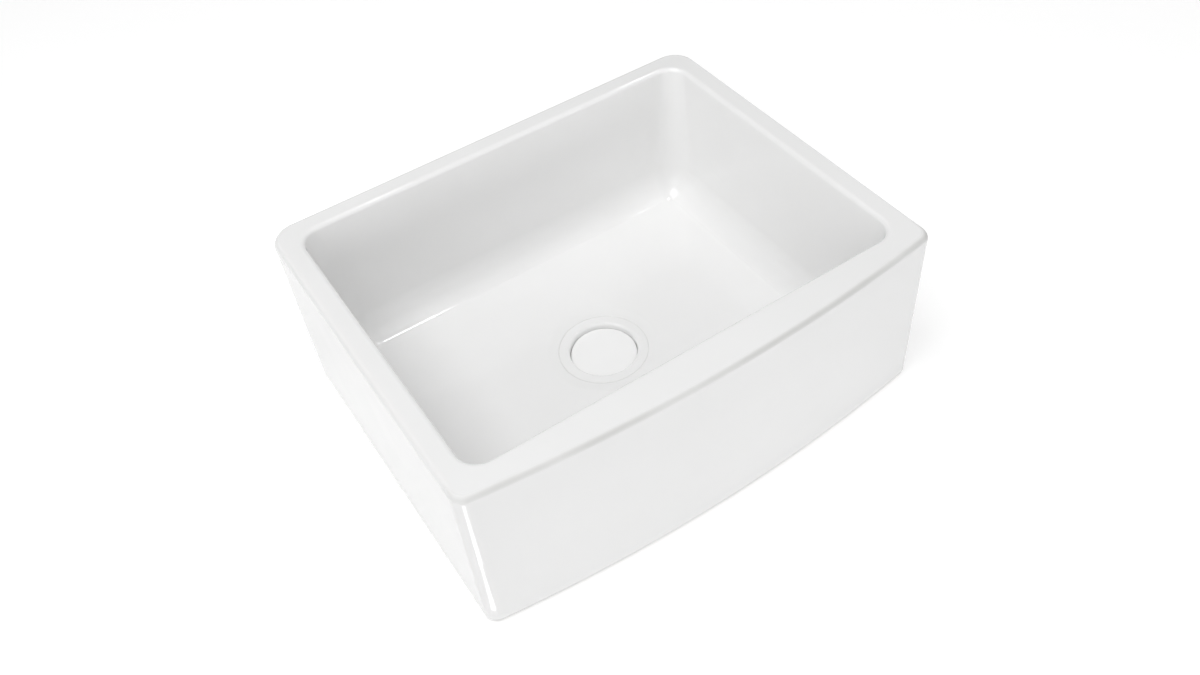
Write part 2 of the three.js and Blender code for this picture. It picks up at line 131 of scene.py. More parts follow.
THROAT_RADIUS = SLEEVE_RADIUS - SLEEVE_WALL
LEDGE_DEPTH = 10.7
LEDGE_WIDTH = 2.8
LEDGE_EDGE = 0.4
LEDGE_Z = GASKET_TOP - LEDGE_DEPTH
CUP_RADIUS = THROAT_RADIUS - LEDGE_WIDTH
CUP_FLOOR = 1.6
CUP_ROUND = 3
CUP_FOOT_ROUND = 3
COLLAR_Z = FLANGE_LOW[2]
COLLAR_LENGTH = 5.4
COLLAR_BORE = 20
COLLAR_WALL = 3
COLLAR_EDGE = 0.4
COLLAR_ROOT_ROUND = 1
CUP_BASE_Z = COLLAR_Z + COLLAR_LENGTH
CUP_Z = CUP_BASE_Z + CUP_FLOOR
OUTLET_RADIUS = 17
OUTLET_EDGE = 0.5
HUB_BORE = 4.1
HUB_RADIUS = 6.5
CROSS_ARMS = 4
CROSS_ARM_WIDTH = 2.4
CROSS_ARM_ROOT = 0.2  # how far the arms reach into the cup's wall
CROSS_EDGE = 0.4
CROSS_STEPS = 96
THREAD_PITCH = 2
THREAD_DEPTH = 0.45
THREAD_STEP = 0.25
THREAD_ENTRY = 0.6
THREAD_TOP_Z = UNDERSIDE_Z
THREAD_LOW_Z = CUP_BASE_Z + CUP_FOOT_ROUND
RING_CLEARANCE = 0.4
RING_BORE = SLEEVE_RADIUS + RING_CLEARANCE
SEAM_DEPTH = 0.02  # how far below the floor the soft filling of the flange's seam stands
SEAM_GAP = 0.02
NUT_RADIUS = 54
NUT_EDGE = 0.8
NUT_SKIN = 2  # only points this near the outside move out with the lugs
NUT_LUGS = 6
NUT_LUG_REACH = 5
NUT_LUG_WIDTH = 9
NUT_LUG_FLANK = 2
BASKET_WALL = 0.9
BASKET_BEND = 3
BASKET_CLEARANCE = 0.8
BASKET_EDGE = 0.3
HOLE_RADIUS = 2
HOLE_SIDES = 20
HOLE_RINGS = ((14.5, 8), (21, 12), (27.5, 16), (33.5, 20))  # (radius, how many)
POST_BORE = 2.7
POST_RADIUS = 2.4
POST_SKIN = 0.4  # how much thinner the post is in its groove
POST_FLANGE = 5
POST_FLANGE_HEIGHT = 1.4
POST_FLANGE_LIFT = 0.4  # above the cup's floor
POST_FLANGE_Z = CUP_Z + POST_FLANGE_LIFT
POST_STEPS = 64
SOCKET_CLEARANCE = 0.3
PAD_EDGE = 0.25
PAD_STEPS = 32


# ---------------------------------------------------------------- mesh helpers

def new_object(name, vertices, faces, smooth=True):
    mesh = bpy.data.meshes.new(name)
    mesh.from_pydata([tuple(v) for v in vertices], [], faces)
    mesh.validate()
    mesh.update()
    obj = bpy.data.objects.new(name, mesh)
    bpy.context.scene.collection.objects.link(obj)
    if smooth:
        mesh.shade_smooth()
    return obj


def cut_out(obj, cutters):
    """Cuts one mesh out of a piece, keeps the result as the piece's mesh and drops the cutters."""
    modifier = obj.modifiers.new("boolean", "BOOLEAN")
    modifier.operation = "DIFFERENCE"
    modifier.object = cutters
    modifier.solver = "EXACT"
    bpy.context.view_layer.update()
    graph = bpy.context.evaluated_depsgraph_get()
    mesh = bpy.data.meshes.new_from_object(obj.evaluated_get(graph))
    obj.modifiers.clear()
    old = obj.data
    obj.data = mesh
    mesh.name = obj.name
    bpy.data.meshes.remove(old)
    bpy.data.objects.remove(cutters)


def soften(obj, angle=40):
    """Smooth shading with crisp edges where faces meet at more than an angle."""
    obj.data.shade_smooth()
    obj.data.set_sharp_from_angle(angle=math.radians(angle))
    return obj


def arc(centre, radius, start, end, steps=6):
    """Points along an arc, with both ends. The angles are in degrees."""
    angles = np.radians(np.linspace(start, end, steps + 1))
    return [(centre[0] + radius * math.cos(a), centre[1] + radius * math.sin(a)) for a in angles]


def spread(first, last, steps):
    """Points along a straight stretch, without its ends."""
    return [
        tuple(a + (b - a) * i / steps for a, b in zip(first, last))
        for i in range(1, steps)
    ]


def polar(radius, angle, height, centre=(DRAIN_X, DRAIN_Y)):
    """A point in metres, from its place in millimetres about an upright axis."""
    return (
        (centre[0] + radius * math.cos(angle)) * MM,
        (centre[1] + radius * math.sin(angle)) * MM,
        height * MM,
    )


def turned(name, profile, steps=TURN_STEPS, shape=None):
    """A closed profile of (radius, height) turned about the drain's axis.

    shape(radius, height, angle) may move each point, for threads and lugs."""
    area = sum(
        a[0] * b[1] - b[0] * a[1] for a, b in zip(profile, profile[1:] + profile[:1])
    )
    if area < 0:
        profile = profile[::-1]
    on_axis = profile[0][0] == 0 and profile[-1][0] == 0
    count = len(profile)
    vertices, index = [], {}
    for i in range(steps):
        angle = 2 * math.pi * i / steps
        for k, (radius, height) in enumerate(profile):
            if radius == 0 and i:
                index[i, k] = index[0, k]
                continue
            r, z = shape(radius, height, angle) if shape else (radius, height)
            index[i, k] = len(vertices)
            vertices.append(polar(r, angle, z))
    faces = []
    for i in range(steps):
        j = (i + 1) % steps
        for k in range(count - 1 if on_axis else count):
            n = (k + 1) % count
            corners = [index[i, k], index[j, k], index[j, n], index[i, n]]
            faces.append([c for m, c in enumerate(corners) if c != corners[m - 1]])
    return soften(new_object(name, vertices, faces))


# ---------------------------------------------------------------- the fireclay body

CORNER_STEPS = 18
LONG_STEPS = 72
SHORT_STEPS = 54
ROUND_STEPS = 8
RIM_ROUND_STEPS = 12
FLOOR_STEPS = 30
DIP_STEPS = 10
HOLD_STRIP = 0.3
HOLD_SHARE = 0.4  # the most of one step that a narrow strip takes


def outline(side, front, back, front_radius, back_radius, bow):
    """A plan outline, anticlockwise from the right-hand front corner, in from the outer walls."""
    half = WIDTH / 2 - side
    low = FRONT_LINE + front
    high = BACK_LINE - back
    corners = [
        arc((half - front_radius, low + front_radius), front_radius, -90, 0, CORNER_STEPS),
        arc((half - back_radius, high - back_radius), back_radius, 0, 90, CORNER_STEPS),
        arc((-half + back_radius, high - back_radius), back_radius, 90, 180, CORNER_STEPS),
        arc((-half + front_radius, low + front_radius), front_radius, 180, 270, CORNER_STEPS),
    ]
    points = []
    for i, corner in enumerate(corners):
        steps = LONG_STEPS if i % 2 else SHORT_STEPS
        points += corner + spread(corner[-1], corners[(i + 1) % 4][0], steps)
    points = np.array(points)
    in_front = points[:, 1] < low + front_radius + 1e-6
    points[in_front, 1] -= bow * (1 - (points[in_front, 0] / half) ** 2)
    return points


def outside(inset):
    """The outer walls' outline, moved in."""
    return outline(inset, inset, inset, FRONT_CORNER - inset / 2, BACK_CORNER - inset, APRON_BOW)


def bowl(inset, radius):
    """The bowl's outline at the rim, moved in."""
    return outline(RIM_SIDE + inset, RIM_FRONT + inset, RIM_BACK + inset, radius, radius, 0)


def hollow(inset):
    """The outline of the recess under the sink."""
    return outline(inset, inset, inset, UNDERSIDE_CORNER, UNDERSIDE_CORNER, 0)


def around_drain(radius, rays):
    """A ring about the drain, with one point on the way to each of some other points."""
    angle = np.arctan2(rays[:, 1] - DRAIN_Y, rays[:, 0] - DRAIN_X)
    return np.stack([DRAIN_X + radius * np.cos(angle), DRAIN_Y + radius * np.sin(angle)], 1)


def between(first, last, steps):
    """Rings on the straight way between two rings, without them. A ring is (points, heights).

    The first and the last strip are narrow, so that a flat stretch stays flat up to its rounds."""
    way = math.hypot(np.abs(last[0] - first[0]).max(), last[1][0] - first[1][0])
    hold = min(HOLD_STRIP / way, HOLD_SHARE / steps)
    shares = [hold] + [i / steps for i in range(1, steps)] + [1 - hold]
    return [tuple(a + (b - a) * share for a, b in zip(first, last)) for share in shares]


def ease(t):
    return t * t * (3 - 2 * t)


def bowl_fillet():
    """From a bowl wall to the floor, as (inset, height): a large round that ends in a tight one."""
    meet = 270 - FLOOR_ROUND_TURN
    step = BOWL_FILLET - FLOOR_ROUND
    angle = math.radians(meet)
    large = (BOWL_DRAFT + BOWL_FILLET, FLOOR_FOOT_Z + FLOOR_ROUND - step * math.sin(angle))
    tight = (large[0] + step * math.cos(angle), FLOOR_FOOT_Z + FLOOR_ROUND)
    return (
        arc(large, BOWL_FILLET, 180, meet, 2 * ROUND_STEPS)
        + arc(tight, FLOOR_ROUND, meet, 270, ROUND_STEPS)[1:]
    )


def body_rings():
    """The closed section, ring by ring: foot, apron, rim, bowl, drain, underside."""
    rings, thin_and_shade = [], {}

    def ring(points, z):
        rings.append((points, np.full(len(points), float(z))))

    def round_ring(points, z, share):
        """A ring on an outer round, where the glaze runs thin and painted shade darkens it. share is 0
        to 1 across it.
        """
        ring(points, z)
        thin_and_shade[len(rings) - 1] = math.sin(math.pi * share) ** THIN_AND_SHADE_SPREAD

    def stretch_to(points, z, steps):
        first, last = rings[-1], (points, np.full(len(points), float(z)))
        rings.extend(between(first, last, steps))
        rings.append(last)

    ring(hollow(FOOT_WIDTH), 0)
    stretch_to(outside(FOOT_ROUND), 0, 4)
    foot = arc((FOOT_ROUND, FOOT_ROUND), FOOT_ROUND, 270, 180, ROUND_STEPS)
    for i, (inset, z) in enumerate(foot[1:], 1):
        round_ring(outside(inset), z, i / ROUND_STEPS)
    glaze_start = len(rings)
    stretch_to(outside(0), HEIGHT - RIM_OUTER_ROUND, 28)
    centre = (RIM_OUTER_ROUND, HEIGHT - RIM_OUTER_ROUND)
    top = arc(centre, RIM_OUTER_ROUND, 180, 90, RIM_ROUND_STEPS)
    for i, (inset, z) in enumerate(top[1:], 1):
        round_ring(outside(inset), z, i / RIM_ROUND_STEPS)
    centre = (-RIM_INNER_ROUND, HEIGHT - RIM_INNER_ROUND)
    edge = arc(centre, RIM_INNER_ROUND, 90, 0, ROUND_STEPS)
    stretch_to(bowl(edge[0][0], BOWL_CORNER_TOP - edge[0][0]), HEIGHT, 5)
    for inset, z in edge[1:]:
        ring(bowl(inset, BOWL_CORNER_TOP - inset), z)
    fillet = bowl_fillet()
    stretch_to(bowl(BOWL_DRAFT, BOWL_CORNER_FOOT), fillet[0][1], 16)
    for inset, z in fillet[1:]:
        ring(bowl(inset, BOWL_CORNER_FOOT - (inset - BOWL_DRAFT)), z)

    rays = rings[-1][0]
    dip = around_drain(SEAT_RADIUS + SEAT_BLEND, rays)
    for i in range(1, FLOOR_STEPS + 1):
        t = i / FLOOR_STEPS
        ring(rays + (dip - rays) * t, FLOOR_FOOT_Z - FLOOR_FALL * ease(t))
    for i in range(1, DIP_STEPS + 1):
        t = i / DIP_STEPS
        radius = SEAT_RADIUS + SEAT_BLEND * (1 - t)
        ring(around_drain(radius, rays), FLOOR_DRAIN_Z - SEAT_DIP * ease(t))
    glaze_end = len(rings)
    stretch_to(around_drain(SEAT_RADIUS, rays), SEAT_Z, 2)
    stretch_to(around_drain(DRAIN_BORE + DRAIN_LIP, rays), SEAT_Z, 3)
    lip = arc((DRAIN_BORE + DRAIN_LIP, SEAT_Z - DRAIN_LIP), DRAIN_LIP, 90, 180)
    for radius, z in lip[1:]:
        ring(around_drain(radius, rays), z)
    stretch_to(around_drain(DRAIN_BORE, rays), UNDERSIDE_Z, 3)
    stretch_to(around_drain(SEAT_RADIUS + SEAT_BLEND, rays), UNDERSIDE_Z, 4)
    centre = (FOOT_WIDTH + UNDERSIDE_ROUND, UNDERSIDE_Z - UNDERSIDE_ROUND)
    edge = arc(centre, UNDERSIDE_ROUND, 90, 180, ROUND_STEPS)
    stretch_to(hollow(edge[0][0]), UNDERSIDE_Z, 12)
    for inset, z in edge[1:]:
        ring(hollow(inset), z)
    return rings, thin_and_shade, glaze_start, glaze_end


def sink_body():
    """The casting: the rings joined to one skin, with the glaze's waves, and its thin places marked for
    a painted darker band.
    """
    rings, thin_and_shade, glaze_start, glaze_end = body_rings()
    count = len(rings[0][0])
    vertices = np.concatenate([np.column_stack([points, heights]) for points, heights in rings])
    faces, slots = [], []
    for r in range(len(rings)):
        here, there = r * count, ((r + 1) % len(rings)) * count
        for i in range(count):
            j = (i + 1) % count
            faces.append((here + i, here + j, there + j, there + i))
            slots.append(0 if 0 < r < glaze_end else 1)
    obj = new_object("fireclay_body", vertices * MM, faces)

    # the glaze lies a little unevenly: each glazed point moves in by up to WAVE_DEPTH
    mesh = obj.data
    normals = [v.normal.copy() for v in mesh.vertices]
    for v in mesh.vertices:
        ring_index = v.index // count
        if glaze_start <= ring_index < glaze_end - DIP_STEPS:
            at = v.co / (WAVE_LENGTH * MM)
            dip = 0.5 + 0.5 * noise.noise(at) + RIPPLE_SHARE * noise.noise(at * RIPPLE_SCALE)
            v.co -= normals[v.index] * (WAVE_DEPTH * MM * min(max(dip, 0), 1))
    mesh.polygons.foreach_set("material_index", slots)
    # painted shade: marks where the darker band goes, strongest at the apron's front and weak on the
    # rounds behind it
    marks = mesh.attributes.new("thin_glaze_and_shade", "FLOAT", "POINT")
    values = []
    for v in mesh.vertices:
        forward = (FRONT_LINE + THIN_AND_SHADE_FADE - v.co.y / MM) / THIN_AND_SHADE_FADE
        share = THIN_AND_SHADE_AT_SIDES + (1 - THIN_AND_SHADE_AT_SIDES) * min(max(forward, 0), 1)
        values.append(thin_and_shade.get(v.index // count, 0.0) * share)
    marks.data.foreach_set("value", values)
    mesh.update()
    return obj


# ---------------------------------------------------------------- the drain set

def thread(low, high, radius, sign):
    """A shape function: a screw thread on the wall of one radius between two heights."""
    def shape(r, z, angle):
        if abs(r - radius) > 0.01 or not low < z < high:
            return r, z
        fade = min(1, (z - low) / THREAD_PITCH, (high - z) / THREAD_PITCH)
        wave = 0.5 - 0.5 * math.cos(2 * math.pi * z / THREAD_PITCH - angle)
        return r - sign * THREAD_DEPTH * fade * wave, z
    return shape


def rows(radius, low, high):
    """Close points up a wall that carries a thread, from low to high."""
    return spread((radius, low), (radius, high), max(2, round((high - low) / THREAD_STEP)))


def strainer_body():
    """Flange, sleeve, ledge, cup and outlet collar, with the thread outside the sleeve."""
    bend = (SLEEVE_RADIUS + FLANGE_BEND, GASKET_TOP - FLANGE_BEND)
    rim = (FLANGE_RADIUS - FLANGE_EDGE_ROUND, SEAT_TOP_Z - FLANGE_EDGE_ROUND)
    lip = (THROAT_RADIUS + THROAT_LIP, SEAT_TOP_Z - THROAT_LIP)
    ledge_root = (THROAT_RADIUS - LEDGE_EDGE, LEDGE_Z + LEDGE_EDGE)
    ledge_nose = (CUP_RADIUS + LEDGE_EDGE, LEDGE_Z - LEDGE_EDGE)
    cup = (CUP_RADIUS - CUP_ROUND, CUP_Z + CUP_ROUND)
    collar = COLLAR_BORE + COLLAR_WALL
    collar_root = (collar + COLLAR_ROOT_ROUND, CUP_BASE_Z - COLLAR_ROOT_ROUND)
    cup_foot = (SLEEVE_RADIUS - CUP_FOOT_ROUND, CUP_BASE_Z + CUP_FOOT_ROUND)
    profile = (
        arc(bend, FLANGE_BEND, 180, 90)
        + [(FLANGE_RADIUS - FLANGE_UNDERCUT, GASKET_TOP)]
        + [(FLANGE_RADIUS, GASKET_TOP + FLANGE_UNDERCUT)]
        + arc(rim, FLANGE_EDGE_ROUND, 0, 90, 4)
        + arc(lip, THROAT_LIP, 90, 180, 12)
        + arc(ledge_root, LEDGE_EDGE, 0, -90, 3)
        + arc(ledge_nose, LEDGE_EDGE, 90, 180, 3)
        + arc(cup, CUP_ROUND, 0, -90, 5)
        + [(OUTLET_RADIUS + OUTLET_EDGE, CUP_Z), (OUTLET_RADIUS, CUP_Z - OUTLET_EDGE)]
        + [(OUTLET_RADIUS, CUP_BASE_Z), (COLLAR_BORE, CUP_BASE_Z)]
        + [(COLLAR_BORE, COLLAR_Z + COLLAR_EDGE), (COLLAR_BORE + COLLAR_EDGE, COLLAR_Z)]
        + [(collar - COLLAR_EDGE, COLLAR_Z), (collar, COLLAR_Z + COLLAR_EDGE)]
        + arc(collar_root, COLLAR_ROOT_ROUND, 180, 90, 4)
        + arc(cup_foot, CUP_FOOT_ROUND, 270, 360, 5)
        + rows(SLEEVE_RADIUS, THREAD_LOW_Z, THREAD_TOP_Z)
    )
    screw = thread(THREAD_LOW_Z, THREAD_TOP_Z, SLEEVE_RADIUS, 1)
    return turned("strainer_shell", profile, shape=screw)


def strainer_cross():
    """The four arms and hub in the outlet that guide the basket's post."""
    half = CROSS_ARM_WIDTH / 2
    sector = 2 * math.pi / CROSS_ARMS
    at_hub = math.asin(half / HUB_RADIUS)
    at_tip = math.asin(half / OUTLET_RADIUS)

    def radius_at(angle, grow):
        """Outer outline of hub and arms together."""
        off = (angle + sector) % sector - sector / 2
        sine = abs(math.sin(off))
        hub = HUB_RADIUS + grow
        if sine * hub >= half + grow:
            return hub
        return max(hub, min(OUTLET_RADIUS + CROSS_ARM_ROOT, (half + grow) / max(sine, 1e-6)))

    offsets = [*np.linspace(-at_hub, -at_tip, 7), *np.linspace(-at_tip, at_tip, 5)]
    angles = {round(2 * math.pi * i / CROSS_STEPS, 6) for i in range(CROSS_STEPS)}
    for arm in range(CROSS_ARMS):
        middle = (arm + 0.5) * sector
        angles.update(round(float(middle + side * off), 6) for off in offsets for side in (1, -1))
    angles = sorted(a % (2 * math.pi) for a in angles)

    low, top = CUP_BASE_Z, CUP_Z
    levels = [(low, -CROSS_EDGE), (low + CROSS_EDGE, 0), (top - CROSS_EDGE, 0), (top, -CROSS_EDGE)]
    rings = [(z, [radius_at(a, grow) for a in angles]) for z, grow in levels]
    rings += [(z, [HUB_BORE] * len(angles)) for z in (top, low)]
    vertices = [polar(r, a, z) for z, radii in rings for r, a in zip(radii, angles)]
    count = len(angles)
    faces = []
    for row in range(len(rings)):
        here, there = row * count, ((row + 1) % len(rings)) * count
        for i in range(count):
            j = (i + 1) % count
            faces.append((here + i, here + j, there + j, there + i))
    return soften(new_object("strainer_cross", vertices, faces), 30)


def soft_gasket():
    """The ring under the flange, squeezed up round the flange's edge so that no gap shows."""
    _, bottom, top = round_size("flange_gasket")
    bore = RING_BORE + FLANGE_BEND
    outer, inner = SEAT_RADIUS - SEAM_GAP, FLANGE_RADIUS + SEAM_GAP
    seam = SEAT_TOP_Z - SEAM_DEPTH
    return turned("soft_gasket", [
        (bore, bottom), (outer, bottom), (outer, seam), (inner, seam), (inner, top), (bore, top),
    ])


def ring_piece(node, name, bore, edge):
    """A flat ring with softened edges, on the box of a CAD ring."""
    outer, bottom, top = round_size(node)
    return turned(name, (
        arc((outer - edge, bottom + edge), edge, 270, 360, 3)
        + arc((outer - edge, top - edge), edge, 0, 90, 3)
        + arc((bore + edge, top - edge), edge, 90, 180, 3)
        + arc((bore + edge, bottom + edge), edge, 180, 270, 3)
    ))


def locknut():
    _, bottom, top = round_size("locknut")
    screw = thread(bottom, top, RING_BORE, -1)
    sector = 2 * math.pi / NUT_LUGS

    def shape(r, z, angle):
        r, z = screw(r, z, angle)
        if r < NUT_RADIUS - NUT_SKIN:
            return r, z
        off = abs((angle + sector / 2) % sector - sector / 2) * NUT_RADIUS
        rise = min(max((NUT_LUG_WIDTH / 2 + NUT_LUG_FLANK / 2 - off) / NUT_LUG_FLANK, 0), 1)
        return r + NUT_LUG_REACH * ease(rise), z

    profile = (
        arc((NUT_RADIUS - NUT_EDGE, bottom + NUT_EDGE), NUT_EDGE, 270, 360, 3)
        + arc((NUT_RADIUS - NUT_EDGE, top - NUT_EDGE), NUT_EDGE, 0, 90, 3)
        + [(RING_BORE + THREAD_ENTRY, top), (RING_BORE, top - THREAD_ENTRY)]
        + rows(RING_BORE, bottom + THREAD_ENTRY, top - THREAD_ENTRY)[::-1]
        + [(RING_BORE, bottom + THREAD_ENTRY), (RING_BORE + THREAD_ENTRY, bottom)]
    )
    return turned("locknut_ring", profile, steps=360, shape=shape)


def hole_cutters(low, high):
    """Upright pins where the basket's floor has its holes."""
    vertices, faces = [], []
    angles = [2 * math.pi * k / HOLE_SIDES for k in range(HOLE_SIDES)]
    for radius, count in HOLE_RINGS:
        for i in range(count):
            around = (i + 0.5) / count * 2 * math.pi
            centre = (DRAIN_X + radius * math.cos(around), DRAIN_Y + radius * math.sin(around))
            lower = range(len(vertices), len(vertices) + HOLE_SIDES)
            upper = [k + HOLE_SIDES for k in lower]
            vertices += [polar(HOLE_RADIUS, a, z, centre) for z in (low, high) for a in angles]
            for k in range(HOLE_SIDES):
                n = (k + 1) % HOLE_SIDES
                faces.append((lower[k], lower[n], upper[n], upper[k]))
            faces.append(tuple(lower)[::-1])
            faces.append(tuple(upper))
    return new_object("basket_drills", vertices, faces, smooth=False)


def strainer_basket():
    """The perforated cup, with its rim on the strainer's ledge."""
    rim, base, top = round_size("strainer_basket")
    wall = CUP_RADIUS - BASKET_CLEARANCE
    inner = wall - BASKET_WALL
    bend, edge = BASKET_BEND, BASKET_EDGE
    profile = (
        [(POST_BORE, base)]
        + arc((wall - bend, base + bend), bend, 270, 360, 8)
        + [(wall, LEDGE_Z)]
        + arc((rim - edge, LEDGE_Z + edge), edge, 270, 360, 3)
        + arc((rim - edge, top - edge), edge, 0, 90, 3)
        + arc((inner + edge, top - edge), edge, 90, 180, 3)
        + arc((inner - bend + BASKET_WALL, base + bend), bend - BASKET_WALL, 360, 270, 8)
        + [(POST_BORE, base + BASKET_WALL)]
    )
    basket = turned("basket_cup", profile)
    cut_out(basket, hole_cutters(base - 1, base + BASKET_WALL + 1))
    return soften(basket)


def basket_stopper():
    """The rubber disc under the basket, with a groove round its foot and a place for the post."""
    radius, bottom, top = round_size("basket_stopper")
    recess = POST_FLANGE + 0.6
    recess_top = POST_FLANGE_Z + POST_FLANGE_HEIGHT
    groove = 0.5
    profile = (
        [(recess, bottom), (radius - 6, bottom), (radius - 5, bottom + groove)]
        + [(radius - 3.5, bottom + groove), (radius - 2.5, bottom)]
        + arc((radius - 1, bottom + 1), 1, 270, 360, 4)
        + arc((radius - 0.6, top - 0.6), 0.6, 0, 90, 4)
        + [(POST_BORE, top), (POST_BORE, recess_top), (recess, recess_top)]
    )
    return turned("rubber_stopper", profile)


def basket_post():
    """The post, with a groove for its rubber ring and a flange that carries the stopper."""
    _, bottom, top = round_size("basket_post")
    groove = POST_RADIUS - POST_SKIN
    middle = bottom + CUP_FLOOR / 2
    flange, flange_top = POST_FLANGE_Z, POST_FLANGE_Z + POST_FLANGE_HEIGHT
    profile = [
        (0, bottom), (POST_RADIUS - 0.6, bottom), (POST_RADIUS - 0.1, bottom + 0.35),
        (groove, middle - 0.2), (groove, middle + 0.2), (POST_RADIUS, middle + 0.4),
        (POST_RADIUS, flange), (POST_FLANGE - 0.2, flange), (POST_FLANGE, flange + 0.2),
        (POST_FLANGE, flange_top), (POST_RADIUS, flange_top), (POST_RADIUS, top), (0, top),
    ]
    return turned("steel_post", profile, steps=POST_STEPS)


def post_oring():
    outer, bottom, top = round_size("post_oring")
    section = (top - bottom) / 2
    centre = (outer - section, (bottom + top) / 2)
    return turned("post_grip_ring", arc(centre, section, 0, 360, 16)[:-1], steps=POST_STEPS)


def basket_knob():
    """A waisted knob with a rounded head, hollow where the post ends in it."""
    head, bottom, top = round_size("basket_knob")
    socket = mm_box("basket_post")[1][2] + SOCKET_CLEARANCE
    profile = (
        [(0, socket), (POST_BORE, socket), (POST_BORE, bottom), (5.6, bottom), (6, bottom + 0.4)]
        + arc((8.2, bottom + 3.9), 4.6, 235, 180, 8)
        + arc((6.6, top - 6.6), 3, 180, 120, 6)
        + arc((head - 2, top - 2), 2, -55, 90, 12)
        + [(3, top - 0.25), (0, top - 0.4)]
    )
    return turned("lift_knob", profile, steps=96)


def cover_disc():
    """A plain disc, flat below and slightly crowned, with a rounded edge."""
    radius, bottom, top = round_size("cover_disc")
    edge_top = bottom + 2
    edge = 0.8
    reach = radius - edge
    crown = [
        (r, edge_top + (top - edge_top) * (1 - (r / reach) ** 2))
        for r in np.linspace(radius - 3, 3, 14)
    ]
    profile = (
        [(0, bottom), (radius - 0.3, bottom), (radius, bottom + 0.3)]
        + arc((reach, edge_top - edge), edge, 0, 90)
        + crown
        + [(0, top)]
    )
    return turned("cover_plate", profile)


def cover_pad(index):
    node = f"cover_pad_{index}"
    low, high = mm_box(node)
    centre = ((low[0] + high[0]) / 2, (low[1] + high[1]) / 2)
    radius, bottom, top = round_size(node)
    inner = radius - PAD_EDGE
    rings = [(inner, bottom), (radius, bottom + PAD_EDGE), (radius, top - PAD_EDGE), (inner, top)]
    angles = [2 * math.pi * i / PAD_STEPS for i in range(PAD_STEPS)]
    vertices = [polar(r, a, z, centre) for r, z in rings for a in angles]
    faces = []
    for row in range(len(rings) - 1):
        here, there = row * PAD_STEPS, (row + 1) * PAD_STEPS
        for i in range(PAD_STEPS):
            j = (i + 1) % PAD_STEPS
            faces.append((here + i, here + j, there + j, there + i))
    faces.append(tuple(range(PAD_STEPS))[::-1])
    faces.append(tuple(range(len(vertices) - PAD_STEPS, len(vertices))))
    return soften(new_object(f"rubber_pad_{index}", vertices, faces))


# ---------------------------------------------------------------- materials

def material(name, color, roughness, metallic=0.0, ior=1.5):
    """A principled material, with its noise-driven parts added by the callers."""
    mat = bpy.data.materials.new(name)
    mat.use_nodes = True
    shader = mat.node_tree.nodes["Principled BSDF"]
    shader.inputs["Base Color"].default_value = (*color, 1)
    shader.inputs["Roughness"].default_value = roughness
    shader.inputs["Metallic"].default_value = metallic
    shader.inputs["IOR"].default_value = ior
    return mat


def add(owner, kind, **settings):
    """A new node for a material or a world."""
    node = owner.node_tree.nodes.new(kind)
    for key, value in settings.items():
        setattr(node, key, value)
    return node


def link(owner, source, target):
    owner.node_tree.links.new(source, target)


def link_shader(mat, source, name):
    link(mat, source, mat.node_tree.nodes["Principled BSDF"].inputs[name])


def noise_node(mat, scale, detail):
    coordinates = add(mat, "ShaderNodeTexCoord")
    node = add(mat, "ShaderNodeTexNoise")
    node.inputs["Scale"].default_value = scale
    node.inputs["Detail"].default_value = detail
    link(mat, coordinates.outputs["Object"], node.inputs["Vector"])
    return node


def ramp(mat, source, stops):
    """A colour ramp. stops is a list of (position, colour)."""
    node = add(mat, "ShaderNodeValToRGB")
    elements = node.color_ramp.elements
    for element, (position, color) in zip(elements, stops):
        element.position = position
        element.color = (*color, 1)
    link(mat, source, node.inputs["Fac"])
    return node


def mix_colors(mat, share, first, second):
    """A mix of two colours, each a socket or a plain colour, by a share from 0 to 1."""
    node = add(mat, "ShaderNodeMix", data_type="RGBA")
    factor, socket_a, socket_b = (node.inputs[i] for i in (0, 6, 7))
    link(mat, share, factor)
    for socket, color in ((socket_a, first), (socket_b, second)):
        if isinstance(color, tuple):
            socket.default_value = (*color, 1)
        else:
            link(mat, color, socket)
    return node.outputs[2]


def grey(level):
    return (level, level, level)


def vary_roughness(mat, scale, low, high):
    source = noise_node(mat, scale, 3)
    node = ramp(mat, source.outputs["Fac"], [(0.3, grey(low)), (0.7, grey(high))])
    link_shader(mat, node.outputs["Color"], "Roughness")
    return node


def vary_color(mat, scale, low, high, detail=3):
    source = noise_node(mat, scale, detail)
    node = ramp(mat, source.outputs["Fac"], [(0.35, low), (0.65, high)])
    link_shader(mat, node.outputs["Color"], "Base Color")
    return node


def grain(mat, scale, detail, strength, distance):
    """Fine bumps from noise. scale is in waves per metre, distance in metres."""
    source = noise_node(mat, scale, detail)
    node = add(mat, "ShaderNodeBump")
    node.inputs["Strength"].default_value = strength
    node.inputs["Distance"].default_value = distance
    link(mat, source.outputs["Fac"], node.inputs["Height"])
    link_shader(mat, node.outputs["Normal"], "Normal")


GLAZE_LIGHT = (0.895, 0.895, 0.893)
GLAZE_DEEP = (0.88, 0.88, 0.877)
# painted shade: the darker colour laid on the outer rounds, mostly along the apron's top edge
GLAZE_THIN_AND_SHADE = (0.6, 0.6, 0.59)
THIN_ROUGHNESS = 0.5
GLAZE_END_WANDER = 0.0025  # metres, as are the two heights between which the glaze fades out
GLAZE_END_LOW = 0.0022
GLAZE_END_HIGH = 0.0034
BISCUIT = (0.66, 0.61, 0.53)
BISCUIT_DARK = (0.56, 0.51, 0.43)


